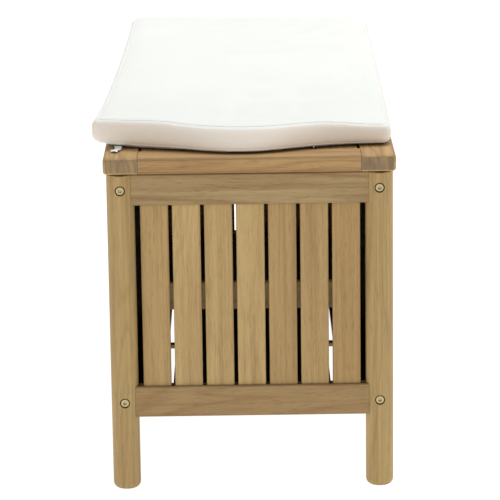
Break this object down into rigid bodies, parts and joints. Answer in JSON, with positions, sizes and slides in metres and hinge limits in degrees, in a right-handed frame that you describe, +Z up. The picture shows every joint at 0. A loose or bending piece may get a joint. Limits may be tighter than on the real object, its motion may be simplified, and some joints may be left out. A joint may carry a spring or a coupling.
{
  "type": "deck storage box",
  "caption": "Slatted wooden outdoor storage bench on round legs, with a framed lid hinged along the rear and a loose padded seat cushion on top.",
  "frame": {"origin": "on the ground under the middle of the bench", "axes": "+X along the bench, +Y towards the rear where the lid is hinged, +Z up"},
  "size_m": [1.17, 0.49, 0.6323],
  "materials": {
    "leg_wood": "oiled light hardwood",
    "rail_wood": "oiled light hardwood",
    "slat_wood": "oiled light hardwood",
    "floor_wood": "plain sawn hardwood",
    "lid_wood": "oiled light hardwood",
    "bolt_brass": "pale brass plating",
    "hinge_steel": "zinc plated",
    "bumper_rubber": "matte",
    "liner_fabric": "black woven polypropylene",
    "cushion_fabric": "off-white woven polyester"
  },
  "bodies": {
    "box": {"leg_front_left": "leg_wood", "leg_front_right": "leg_wood", "leg_rear_left": "leg_wood", "leg_rear_right": "leg_wood", "bolt_top_front_left": "bolt_brass", "bolt_bottom_front_left": "bolt_brass", "bolt_top_front_right": "bolt_brass", "bolt_bottom_front_right": "bolt_brass", "bolt_top_rear_left": "bolt_brass", "bolt_bottom_rear_left": "bolt_brass", "bolt_top_rear_right": "bolt_brass", "bolt_bottom_rear_right": "bolt_brass", "end_top_rail_right": "rail_wood", "end_bottom_rail_right": "rail_wood", "end_slat_right_1": "slat_wood", "end_slat_right_2": "slat_wood", "end_slat_right_3": "slat_wood", "end_slat_right_4": "slat_wood", "end_slat_right_5": "slat_wood", "end_slat_right_6": "slat_wood", "end_slat_right_7": "slat_wood", "end_batten_right": "slat_wood", "end_top_rail_left": "rail_wood", "end_bottom_rail_left": "rail_wood", "end_slat_left_1": "slat_wood", "end_slat_left_2": "slat_wood", "end_slat_left_3": "slat_wood", "end_slat_left_4": "slat_wood", "end_slat_left_5": "slat_wood", "end_slat_left_6": "slat_wood", "end_slat_left_7": "slat_wood", "end_batten_left": "slat_wood", "side_top_rail_rear": "rail_wood", "side_bottom_rail_rear": "rail_wood", "side_slat_panel_rear": "slat_wood", "side_top_rail_front": "rail_wood", "side_bottom_rail_front": "rail_wood", "side_slat_panel_front": "slat_wood", "floor_grille": "floor_wood", "liner": "liner_fabric", "hinge_box_leaf_left": "hinge_steel", "hinge_pin_left": "hinge_steel", "hinge_box_leaf_right": "hinge_steel", "hinge_pin_right": "hinge_steel", "lid_bumper_left": "bumper_rubber", "lid_bumper_right": "bumper_rubber"},
    "lid": {"lid_stile_rear": "lid_wood", "lid_stile_front": "lid_wood", "lid_end_rail_right": "lid_wood", "lid_end_rail_left": "lid_wood", "lid_board_1": "lid_wood", "lid_board_2": "lid_wood", "lid_board_3": "lid_wood", "lid_board_4": "lid_wood", "lid_board_5": "lid_wood", "lid_batten_left": "lid_wood", "lid_batten_right": "lid_wood", "hinge_lid_leaf_left": "hinge_steel", "hinge_lid_leaf_right": "hinge_steel"},
    "cushion": {"seat_cushion": "cushion_fabric"}
  },
  "joints": [
    {"name": "lid_hinge", "type": "hinge", "parent": "box", "child": "lid", "pos_m": [0, 0.2383, 0.5507], "axis": [-1, 0, 0], "range_deg": [0, 100]},
    {"name": "cushion_lift", "type": "slide", "parent": "lid", "child": "cushion", "axis": [0, 0, 1], "range_m": [0, 0.12]}
  ]
}
